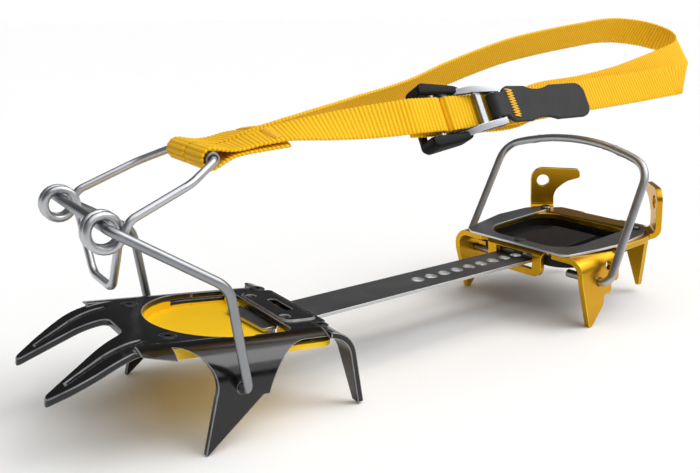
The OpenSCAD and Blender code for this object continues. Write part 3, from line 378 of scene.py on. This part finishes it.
def eased(node, edge_mm):
    """A merged copy of a CAD node with its sharp edges rounded, standing for the node. Its rounded and sheared
    edges are marked for their wear and for a painted highlight."""
    form = bmesh.new()
    form.from_mesh(nodes[node].data)
    bmesh.ops.remove_doubles(form, verts=form.verts, dist=MERGE_MM * MM)
    bmesh.ops.dissolve_limit(form, angle_limit=FLAT_ANGLE, verts=form.verts, edges=form.edges)
    if node == "buckle_frame":
        # The rails end inside their cover
        everything = form.verts[:] + form.edges[:] + form.faces[:]
        bmesh.ops.bisect_plane(form, geom=everything, plane_co=(DATUM + buckle_point(RAIL_END, 0)) * MM,
                               plane_no=(1, 0, 0), clear_outer=True)
        bmesh.ops.holes_fill(form, edges=[e for e in form.edges if e.is_boundary])
    # The marked faces take a paler tone in their finishes: wear and a painted highlight
    edge_layer = form.faces.layers.float.new("edge")
    if node in STRIPS:
        for face in form.faces:
            face[edge_layer] = float(abs(face.normal.z) < 0.5)
    if edge_mm:
        sharp = [e for e in form.edges if e.is_manifold and e.calc_face_angle(0.0) > SHARP_ANGLE]
        surface = BVHTree.FromBMesh(form)
        # Clamping would shrink the rounding everywhere to what the shortest edge allows
        rounded = bmesh.ops.bevel(form, geom=sharp, offset=edge_mm * MM, offset_type="OFFSET", segments=2,
                                  profile=0.5, affect="EDGES", material=-1, clamp_overlap=False)
        for face in rounded["faces"]:
            face[edge_layer] = 1.0
        # Beside edges shorter than itself the rounding overshoots, and goes back to the CAD surface
        for vertex in form.verts:
            nearest, _, _, gap = surface.find_nearest(vertex.co)
            if gap > 0.5 * edge_mm * MM:
                vertex.co = nearest
    mesh = bpy.data.meshes.new(node + "_eased")
    form.to_mesh(mesh)
    form.free()
    mesh.shade_smooth()
    mesh.set_sharp_from_angle(angle=CREASE_ANGLE)
    piece = put(node + "_piece", mesh, body_of_node[node], FINISH[node])
    piece.modifiers.new("Even shading", "WEIGHTED_NORMAL").keep_sharp = True
    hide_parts(node)
    return piece


# How far each node's edges are rounded. The wires have none.
EASED_EDGES_MM = {
    "toe_plate": 0.4,
    "toe_rivets": 0.15,
    "toe_antiball_plate": 0.12,
    "link_bar": 0.2,
    "lever_tube": 0.25,
    "heel_frame": 0.3,
    "heel_antiball_plate": 0.3,
    "heel_clips": 0.3,
    "lock_spring": 0.18,
    "lock_pin": 0.25,
    "lock_rivets": 0.25,
    "buckle_frame": 0.3,
    "pull_tab": 0.4,
    "toe_bail": 0,
    "lever_wire": 0,
    "heel_bail": 0,
}
dressed = {name: eased(name, edge) for name, edge in EASED_EDGES_MM.items()}


def moulded_cover():
    """The buckle's cover: an arm along each rail, deeper towards the wide end, and a bar under the strap."""
    top, low, deep = 3.0, -3.6, -7.0
    start, end = 3.2, 25.0
    bar_thick, bar_long = 3.2, 22.0
    plan = [(start, 9.2), (end, 8.2), (end, 11.2), (end - 3, 12.3), (start + 2.5, 14.3), (start, 12.6)]
    form = bmesh.new()
    for side in (1, -1):
        lid = form.faces.new([form.verts.new((DATUM + buckle_point(s, top, side * h)) * MM) for s, h in plan])
        base = bmesh.ops.extrude_face_region(form, geom=[lid])["geom"]
        for vertex in (v for v in base if isinstance(v, bmesh.types.BMVert)):
            s = BUCKLE.x - (vertex.co.x / MM - DATUM.x)
            vertex.co -= OUTWARDS * (top - deep - (low - deep) * (s - start) / (end - start)) * MM
    bar = bmesh.ops.create_cube(form, size=1.0)["verts"]
    for vertex in bar:
        s = start + bar_thick / 2 + bar_thick * vertex.co.x
        n = (low + deep) / 2 + bar_thick * vertex.co.z
        h = bar_long * vertex.co.y
        vertex.co = (DATUM + buckle_point(s, n, h)) * MM
    bmesh.ops.recalc_face_normals(form, faces=form.faces)
    bmesh.ops.bevel(form, geom=form.edges[:], offset=1.1 * MM, offset_type="OFFSET", segments=3, profile=0.5,
                    affect="EDGES", material=-1, clamp_overlap=True)
    mesh = bpy.data.meshes.new("buckle_cover_moulded")
    form.to_mesh(mesh)
    form.free()
    mesh.shade_smooth()
    piece = put("buckle_cover_piece", mesh, body_of_node["buckle_cover"], FINISH["buckle_cover"])
    piece.modifiers.new("Even shading", "WEIGHTED_NORMAL")
    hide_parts("buckle_cover")


moulded_cover()


# Height of the toe plate's top over the datum, and its slope
TOE_Z = 33.7
TOE_PITCH = math.radians(5.7)


def toe_point(x, y, z):
    """A point given in the toe plate's own directions."""
    forwards = Vector((math.cos(TOE_PITCH), 0.0, math.sin(TOE_PITCH)))
    upwards = Vector((-math.sin(TOE_PITCH), 0.0, math.cos(TOE_PITCH)))
    return DATUM + Vector((0.0, y, TOE_Z)) + forwards * x + upwards * z


def rim_walls():
    """Upright walls under the sides of the toe opening, from the sheet down to the yellow floor. They are as
    black as the sheet."""
    top, height, thickness = -2.9, 1.9, 1.4
    course = [(-9, 28.3), (-7.6, 29.1), (-5, 29.4), (14, 29.4), (18, 29.3), (22.2, 28.6), (26.4, 27.3),
              (29, 26.2)]
    down = toe_point(0, 0, -height) * MM - toe_point(0, 0, 0) * MM
    form = bmesh.new()
    for side in (1, -1):
        line = [form.verts.new(toe_point(x, side * y, top) * MM) for x, y in course]
        edges = [form.edges.new(pair) for pair in zip(line, line[1:])]
        grown = bmesh.ops.extrude_edge_only(form, edges=edges)["geom"]
        lower = [v for v in grown if isinstance(v, bmesh.types.BMVert)]
        bmesh.ops.translate(form, verts=lower, vec=down)
    bmesh.ops.recalc_face_normals(form, faces=form.faces)
    mesh = bpy.data.meshes.new("toe_rim_walls")
    form.to_mesh(mesh)
    form.free()
    mesh.shade_smooth()
    piece = put("toe_rim_walls", mesh, body_of_node["toe_plate"], FINISH["toe_plate"])
    wall = piece.modifiers.new("Thickness", "SOLIDIFY")
    wall.thickness = thickness * MM
    wall.offset = 0.0


rim_walls()


def arched(bail):
    """Moves the top of the heel bail into one even arch. The moves fade out towards the bends into its legs."""
    pivot = next(j for j in frame["record"]["behaviour"]["joints"] if j["name"] == "heel_bail_pivot")
    origin, axis = Vector(pivot["pos_m"]), Vector(pivot["axis"])
    half, corner, rise = 45.5 * MM, 60.0 * MM, 9.0 * MM
    fade_end, fade_length = 40 * MM, 10 * MM
    cut_gap, crown, slice_half = 2.6 * MM, 3 * MM, 2 * MM
    legs_end = 0.8 * corner
    form = bmesh.new()
    form.from_mesh(bail.data)
    for k in range(-15, 16):
        everything = form.verts[:] + form.edges[:] + form.faces[:]
        bmesh.ops.bisect_plane(form, geom=everything, plane_co=origin + axis * (cut_gap * k), plane_no=axis)
    sideways = [(v.co - origin).dot(axis) for v in form.verts]
    top = [v.co - origin for v, y in zip(form.verts, sideways) if abs(y) < crown]
    middle = sum(top, Vector()) / len(top)
    up = (middle - axis * middle.dot(axis)).normalized()
    reach = [(v.co - origin).dot(up) for v in form.verts]
    moves = []
    for y, r in zip(sideways, reach):
        beside = [q for q, other in zip(reach, sideways) if abs(other - y) < slice_half and q > legs_end]
        fade = max(0.0, min(1.0, (fade_end - abs(y)) / fade_length)) if r > legs_end else 0.0
        arch = corner + rise * (1 - (y / half) ** 2)
        moves.append(fade * (arch - (max(beside) + min(beside)) / 2) if fade else 0.0)
    for vertex, move in zip(form.verts, moves):
        vertex.co += up * move
    form.to_mesh(bail.data)
    form.free()


arched(dressed["heel_bail"])


# Straps: each section of a route is a point and the direction of the width there (mm, from the datum)


def tube_wrap(y):
    """Sections round the strap tube, from below it to above it."""
    angles = [math.radians(a) for a in range(-115, 96, 14)]
    return [(Vector((TUBE[0] + WRAP_R * math.cos(a), y, TUBE[1] + WRAP_R * math.sin(a))), Vector((0, 1, 0)))
            for a in angles]


def bar_wrap(s, start, end, edge):
    """Sections round a bar of the buckle, from one face of the webbing to the other."""
    angles = [math.radians(start + (end - start) * i / 10) for i in range(11)]
    return [(buckle_point(s + FOLD_R * math.cos(a), FOLD_R * math.sin(a)), edge) for a in angles]


def turned(roll_deg):
    """Direction of the short strap's width, turned from flat."""
    roll = math.radians(roll_deg)
    return Vector((0.0, math.cos(roll), -math.sin(roll)))


def short_route():
    """From its sewn lap round the tube, to the buckle, and back under itself."""
    under = [((-9, 11.1, 102.7), 14), ((2, 9.6, 100.8), 6), ((13, STRAP_Y, 98.6), 0)]
    over = [((13, STRAP_Y, 100.8), 0), ((2, 9.6, 103.1), 6), ((-9, 11.2, 105), 14), ((-26, 13.6, 106), 32),
            ((-44, 16.4, 107), 50), ((-56, 18.6, 107.8), 58)]
    sections = [(Vector(p), turned(r)) for p, r in under] + tube_wrap(STRAP_Y)
    sections += [(Vector(p), turned(r)) for p, r in over]
    sections += [(buckle_point(-3, FOLD_R + 0.4), -UP_EDGE), (buckle_point(5, FOLD_R), -UP_EDGE)]
    sections += bar_wrap(BAR_A, 90, -90, -UP_EDGE)
    return sections + [(buckle_point(4, -FOLD_R), -UP_EDGE), (buckle_point(-4, -FOLD_R + 0.8), -UP_EDGE)]


# Middle line of the long strap from the tube round the back, with its lean in degrees
LOOP = [
    (13, -8.6, 100.8, 90), (1, -9.2, 103.2, 84), (-14, -10.4, 105, 72), (-30, -12, 106.4, 60),
    (-56, -16, 109, 46), (-87, -21, 113, 36), (-113, -26, 119, 30), (-137, -29.4, 124.6, 30),
    (-160, -32, 129.4, 30), (-186, -34.6, 133, 30), (-212, -36, 136, 30), (-236, -36, 138.4, 30),
    (-252, -34.4, 138, 30), (-264, -30.6, 136.2, 30), (-271.4, -25, 133.6, 30), (-274, -18.6, 131, 30),
    (-272, -12.4, 128.8, 30), (-265, -6.4, 126.8, 30), (-254, -1.6, 125, 30), (-238, 2, 122.4, 30),
    (-218, 5.6, 119, 30), (-198, 8.6, 115.8, 30), (-170, 11.8, 112.8, 30), (-140, 13.8, 110.8, 30)]
TAIL = [(-128, 21, 109.6), (-150, 20, 111), (-176, 19.4, 112.2), (-204, 19, 113.8), (-235, 19, 116)]


def long_route():
    """From its sewn lap round the tube and the ankle, through the buckle, to its free end."""
    middle = [Vector(q[:3]) for q in LOOP]
    sections = [(Vector((-9, -10, 101.9)), Vector((0, 1, 0.24))),
                (Vector((2, -9.2, 100.7)), Vector((0, 1, 0.1))),
                (Vector((13, -STRAP_Y, 98.6)), Vector((0, 1, 0)))]
    sections += tube_wrap(-STRAP_Y)
    for i, q in enumerate(LOOP):
        heading = middle[min(i + 1, len(middle) - 1)] - middle[max(i - 1, 0)]
        right = Vector((heading.y, -heading.x, 0)).normalized()
        lean = math.radians(q[3])
        sections.append((middle[i], right * math.sin(lean) + Vector((0, 0, math.cos(lean)))))
    sections += [(buckle_point(52, -FOLD_R), UP_EDGE), (buckle_point(BAR_B + 9, -FOLD_R), UP_EDGE)]
    sections += bar_wrap(BAR_B, 270, 90, UP_EDGE)
    sections += [(buckle_point(BAR_B + 6, FOLD_R), UP_EDGE), (buckle_point(46, FOLD_R), UP_EDGE)]
    return sections + [(Vector(p), UP_EDGE) for p in TAIL]


def smooth(sections):
    """Sections close together, on a curve through the given ones."""
    spacing = 0.8
    found = []
    last = len(sections) - 1
    for i in range(last):
        around = [sections[max(0, min(last, k))] for k in (i - 1, i, i + 1, i + 2)]
        (p0, _), (p1, w1), (p2, w2), (p3, _) = around
        chord = (p2 - p1).length
        # Tangents scaled to the span keep the curve from swinging out beside short spans
        m1 = (p2 - p0).normalized() * chord
        m2 = (p3 - p1).normalized() * chord
        steps = max(1, round(chord / spacing))
        for k in range(steps):
            t = k / steps
            point = (p1 * (2 * t**3 - 3 * t**2 + 1) + m1 * (t**3 - 2 * t**2 + t)
                     + p2 * (3 * t**2 - 2 * t**3) + m2 * (t**3 - t**2))
            found.append((point, w1.lerp(w2, t).normalized()))
    return found + [sections[last]]


def evenly(sections, gap):
    """The same course with its sections a fixed distance apart."""
    found = [sections[0]]
    ahead = gap
    for (p1, w1), (p2, w2) in zip(sections, sections[1:]):
        span = (p2 - p1).length
        while ahead <= span:
            t = ahead / span
            found.append((p1.lerp(p2, t), w1.lerp(w2, t).normalized()))
            ahead += gap
        ahead -= span
    return found


ROWS_PER_RIB = 4
# Thickness and width of the webbing in the gaps between its ribs, as a share of the ribs'
RIB_GAP_THICKNESS = 0.7
RIB_GAP_WIDTH = 0.97


def webbing(name, node, sections, cut_slant_mm=0.0):
    """A woven strap along sections, ribbed across, with a map in millimetres for its weave. Its last end can be
    cut on a slant."""
    step = RIB_MM / ROWS_PER_RIB
    rows = evenly(smooth(sections), step)
    columns = 6
    slanted_mm = 12.0
    last = len(rows) - 1
    crest = [0.5 + 0.5 * math.cos(2 * math.pi * k / ROWS_PER_RIB) for k in range(ROWS_PER_RIB)]
    strip = bmesh.new()
    weave = strip.loops.layers.uv.new("weave")
    bmesh.ops.create_grid(strip, x_segments=columns, y_segments=last, size=1.0, calc_uvs=False)
    place = {}
    for vertex in strip.verts:
        place[vertex.index] = (round((vertex.co.x + 1) / 2 * columns) / columns - 0.5,
                               round((vertex.co.y + 1) / 2 * last))
    for face in strip.faces:
        for loop in face.loops:
            across, row = place[loop.vert.index]
            loop[weave].uv = (across * STRAP_W, row * step)
    for vertex in strip.verts:
        across, row = place[vertex.index]
        point, width = rows[row]
        heading = (rows[min(row + 1, last)][0] - rows[max(row - 1, 0)][0]).normalized()
        width = (width - heading * width.dot(heading)).normalized()
        full = RIB_GAP_WIDTH + (1 - RIB_GAP_WIDTH) * crest[row % ROWS_PER_RIB]
        end_share = max(0.0, 1 - (last - row) * step / slanted_mm)
        slant = heading * (across * cut_slant_mm * end_share)
        vertex.co = (DATUM + point + width * (across * STRAP_W * full) + slant) * MM
    bmesh.ops.recalc_face_normals(strip, faces=strip.faces)
    mesh = bpy.data.meshes.new(name)
    strip.to_mesh(mesh)
    strip.free()
    mesh.shade_smooth()
    piece = put(name, mesh, body_of_node[node], WEBBING)
    ribs = piece.vertex_groups.new(name="ribs")
    for k in range(ROWS_PER_RIB):
        members = [i for i, (_, row) in place.items() if row % ROWS_PER_RIB == k]
        ribs.add(members, RIB_GAP_THICKNESS + (1 - RIB_GAP_THICKNESS) * crest[k], "REPLACE")
    wall = piece.modifiers.new("Thickness", "SOLIDIFY")
    wall.thickness = STRAP_T * MM
    wall.offset = 0.0
    wall.use_even_offset = True
    wall.vertex_group = "ribs"
    rounding = piece.modifiers.new("Soft edges", "BEVEL")
    rounding.width = 0.4 * MM
    rounding.segments = 2
    rounding.limit_method = "ANGLE"
    rounding.angle_limit = math.radians(60)
    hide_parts(node)
    return piece


short_strap = webbing("short_strap_webbing", "short_strap", short_route())
long_strap = webbing("long_strap_webbing", "long_strap", long_route(), cut_slant_mm=13.0)


# Stitching (mm): places of the tacks, their widths and their lengths

THREAD_R = 0.3
TAB_TACK_S, TAB_TACK_W, TAB_TACK_L, TAB_TACK_SKEW = 46.2, 4.2, 12.6, 1.2
LAP_TACK_X, LAP_TACK_W, LAP_TACK_L = -4.0, 3.6, 11.5
SHORT_LAP_Y, LONG_LAP_Y = 10.4, -9.6
# Where the rays that find the carrier start
OUTSIDE_TAB, ABOVE_STRAPS = 30, 130


def tack(name, carrier, node, ray, legs):
    """A zigzag bar tack of sewing thread. The ray gives a start and a direction for a share of the tack's width
    and of its length, and the thread lies where that meets its carrier."""
    surface = BVHTree.FromObject(carrier, bpy.context.evaluated_depsgraph_get())
    steps = 5
    lift, bow = 0.08, 0.25
    points = []
    for i in range(legs):
        for k in range(steps):
            share = k / steps
            start, way = ray(share if i % 2 == 0 else 1 - share, (i + share) / legs)
            touch = surface.ray_cast((DATUM + start) * MM, way)[0]
            points.append(touch - way * (lift + bow * math.sin(math.pi * share)) * MM)
    data = bpy.data.curves.new(name, "CURVE")
    data.dimensions = "3D"
    data.bevel_depth = THREAD_R * MM
    data.bevel_resolution = 2
    data.use_fill_caps = True
    spline = data.splines.new("POLY")
    spline.points.add(len(points) - 1)
    for spot, point in zip(spline.points, points):
        spot.co = (*point, 1.0)
    put(name, data, body_of_node[node], THREAD)


def over_tab(across, along):
    """A ray onto the pull tab, from outside it."""
    s = TAB_TACK_S + TAB_TACK_W * (across - 0.5) + TAB_TACK_SKEW * (along - 0.5)
    return buckle_point(s, OUTSIDE_TAB, TAB_TACK_L * (0.5 - along)), -OUTWARDS


def over_lap(across, along, middle_y):
    """A ray onto the sewn lap of a strap, from above."""
    x = LAP_TACK_X + LAP_TACK_W * (across - 0.5)
    return Vector((x, middle_y + LAP_TACK_L * (along - 0.5), ABOVE_STRAPS)), Vector((0, 0, -1))


def over_short_lap(across, along):
    return over_lap(across, along, SHORT_LAP_Y)


def over_long_lap(across, along):
    return over_lap(across, along, LONG_LAP_Y)


tack("tab_tack", dressed["pull_tab"], "pull_tab", over_tab, 21)
tack("short_strap_tack", short_strap, "short_strap", over_short_lap, 15)
tack("long_strap_tack", long_strap, "long_strap", over_long_lap, 15)


# Camera, floor and light

# The camera fitted to the photograph: picture sizes in pixels, its place in mm
PHOTO_WIDTH = 700
FOCAL_PX = 853.2
CAMERA_AZIMUTH = math.radians(146.7)
CAMERA_ELEVATION = math.radians(14.8)
CAMERA_FROM_DATUM = Vector((145.0, 290.7, 148.8))
SENSOR = 36.0
FLOOR_HALF_M = 12.0


def make_camera():
    """The photograph's camera."""
    data = bpy.data.cameras.new("Camera")
    data.sensor_width = SENSOR
    data.lens = SENSOR * FOCAL_PX / PHOTO_WIDTH
    data.clip_start = 0.01
    data.clip_end = 40.0
    camera = bpy.data.objects.new("Camera", data)
    back = Vector((math.sin(CAMERA_AZIMUTH) * math.cos(CAMERA_ELEVATION),
                   -math.cos(CAMERA_AZIMUTH) * math.cos(CAMERA_ELEVATION), math.sin(CAMERA_ELEVATION)))
    camera.location = (DATUM + CAMERA_FROM_DATUM) * MM
    camera.rotation_mode = "QUATERNION"
    camera.rotation_quaternion = (-back).to_track_quat("-Z", "Y")
    bpy.context.scene.collection.objects.link(camera)
    bpy.context.scene.camera = camera


def make_floor():
    """A white studio floor."""
    mesh = bpy.data.meshes.new("floor")
    sheet = bmesh.new()
    bmesh.ops.create_grid(sheet, x_segments=1, y_segments=1, size=FLOOR_HALF_M)
    sheet.to_mesh(mesh)
    sheet.free()
    floor = bpy.data.objects.new("floor", mesh)
    bpy.context.scene.collection.objects.link(floor)
    material, tree = new_finish("studio_floor")
    place = add(tree, "ShaderNodeTexCoord").outputs["Object"]
    cloud = add(tree, "ShaderNodeTexNoise", {"Vector": place, "Scale": per_metre(80.0)})
    tone = add(tree, "ShaderNodeMix", {"Factor": cloud, "A": linear("#f8f8f8"), "B": linear("#fbfbfb")},
               data_type="RGBA")
    shader = add(tree, "ShaderNodeBsdfPrincipled",
                 {"Base Color": tone, "Roughness": 0.9, "Specular IOR Level": 0.1})
    add(tree, "ShaderNodeOutputMaterial", {"Surface": shader})
    mesh.materials.append(material)


# A wide soft light and a smaller one inside it: where each comes from, its strength, and its width in degrees
SOFT_LIGHTS = [("overhead", (-0.3, 0.3, 0.9), 2.5, 95), ("softbox", (-0.5, 0.36, 0.79), 1.0, 36)]
# The white horizon reaches up to the first height, and the sky is dim from the second one on
HORIZON_TOP, SKY_START = 0.03, 0.16
SKY_DIM = 0.09


def make_light():
    """Soft light from above, and a white horizon that goes over into a dim sky."""
    world = bpy.data.worlds.new("Studio")
    bpy.context.scene.world = world
    world.use_nodes = True
    tree = world.node_tree
    tree.nodes.clear()
    direction = add(tree, "ShaderNodeTexCoord").outputs["Generated"]
    height = add(tree, "ShaderNodeSeparateXYZ", {"Vector": direction}).outputs["Z"]
    level = add(tree, "ShaderNodeMapRange",
                {"Value": height, "From Min": HORIZON_TOP, "From Max": SKY_START,
                 "To Min": 1.0, "To Max": SKY_DIM},
                interpolation_type="SMOOTHSTEP")
    sky = add(tree, "ShaderNodeBackground", {"Strength": level, "Color": (1.0, 1.0, 1.0, 1.0)})
    add(tree, "ShaderNodeOutputWorld", {"Surface": sky})
    for name, source, strength, width in SOFT_LIGHTS:
        data = bpy.data.lights.new(name, "SUN")
        data.energy = strength
        data.angle = math.radians(width)
        lamp = bpy.data.objects.new(name, data)
        lamp.rotation_mode = "QUATERNION"
        lamp.rotation_quaternion = (-Vector(source)).to_track_quat("-Z", "Y")
        bpy.context.scene.collection.objects.link(lamp)


make_camera()
make_floor()
make_light()
bpy.context.scene.view_settings.view_transform = "Standard"
